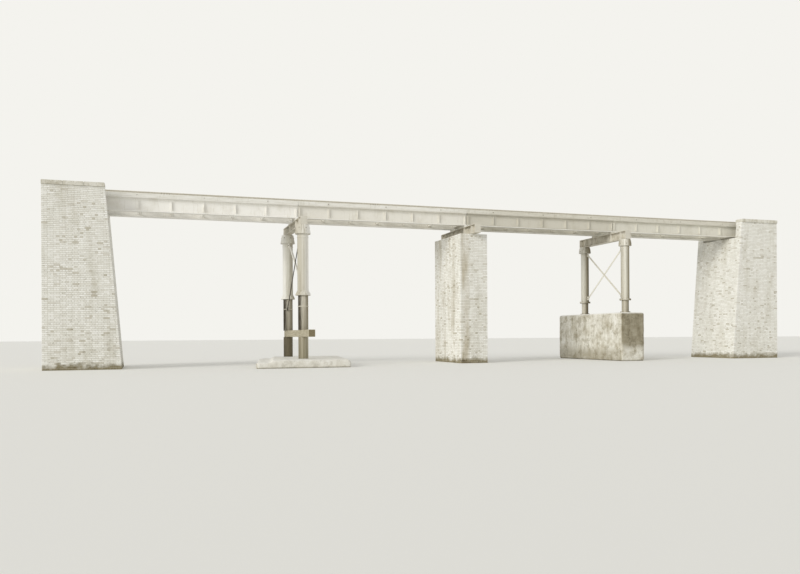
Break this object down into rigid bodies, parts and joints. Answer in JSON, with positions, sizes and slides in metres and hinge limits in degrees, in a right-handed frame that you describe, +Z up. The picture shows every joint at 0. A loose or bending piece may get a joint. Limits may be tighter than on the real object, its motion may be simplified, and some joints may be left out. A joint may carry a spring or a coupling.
{
  "type": "railway underbridge",
  "caption": "Single track plate girder railway bridge on two iron column bents, a brick pier and masonry abutments, open between the supports.",
  "frame": {"origin": "centre of the brick pier's base at the water level, midway between the two girders", "axes": "+X along the track towards the right abutment, +Y across the track to the far side, +Z up"},
  "size_m": [36.195, 7.115, 7.475],
  "materials": {
    "brickwork": "matte, pale weathered brick",
    "dressed_stone": "matte, stained",
    "painted_ironwork": "matte, weathered paint",
    "painted_castings": "matte, weathered paint",
    "weathered_timber": "matte, bleached",
    "rail_steel": "rusted sides, worn head"
  },
  "bodies": {
    "root": {"brick_pier": "brickwork", "left_abutment": "brickwork", "right_abutment": "brickwork", "left_backwall": "brickwork", "right_backwall": "brickwork", "left_parapets": "brickwork", "right_parapets": "brickwork", "left_copings": "dressed_stone", "right_copings": "dressed_stone", "right_pedestal": "dressed_stone", "left_footing": "dressed_stone", "girder_near_1": "painted_ironwork", "girder_far_1": "painted_ironwork", "girder_near_2": "painted_ironwork", "girder_far_2": "painted_ironwork", "girder_near_3": "painted_ironwork", "girder_far_3": "painted_ironwork", "girder_near_4": "painted_ironwork", "girder_far_4": "painted_ironwork", "cross_frames_1": "painted_ironwork", "cross_frames_2": "painted_ironwork", "cross_frames_3": "painted_ironwork", "cross_frames_4": "painted_ironwork", "left_crosshead": "painted_ironwork", "pier_crosshead": "painted_ironwork", "right_crosshead": "painted_ironwork", "bearings": "painted_ironwork", "left_braces": "painted_ironwork", "right_braces": "painted_ironwork", "left_column_near_upper": "painted_castings", "left_column_far_upper": "painted_castings", "right_column_near_upper": "painted_castings", "right_column_far_upper": "painted_castings", "left_lower_columns": "painted_castings", "right_lower_columns": "painted_castings", "left_legs": "painted_castings", "timbers_near": "weathered_timber", "timbers_far": "weathered_timber", "transoms": "weathered_timber", "left_sill_beam": "weathered_timber", "rail_near": "rail_steel", "rail_far": "rail_steel"}
  },
  "joints": []
}
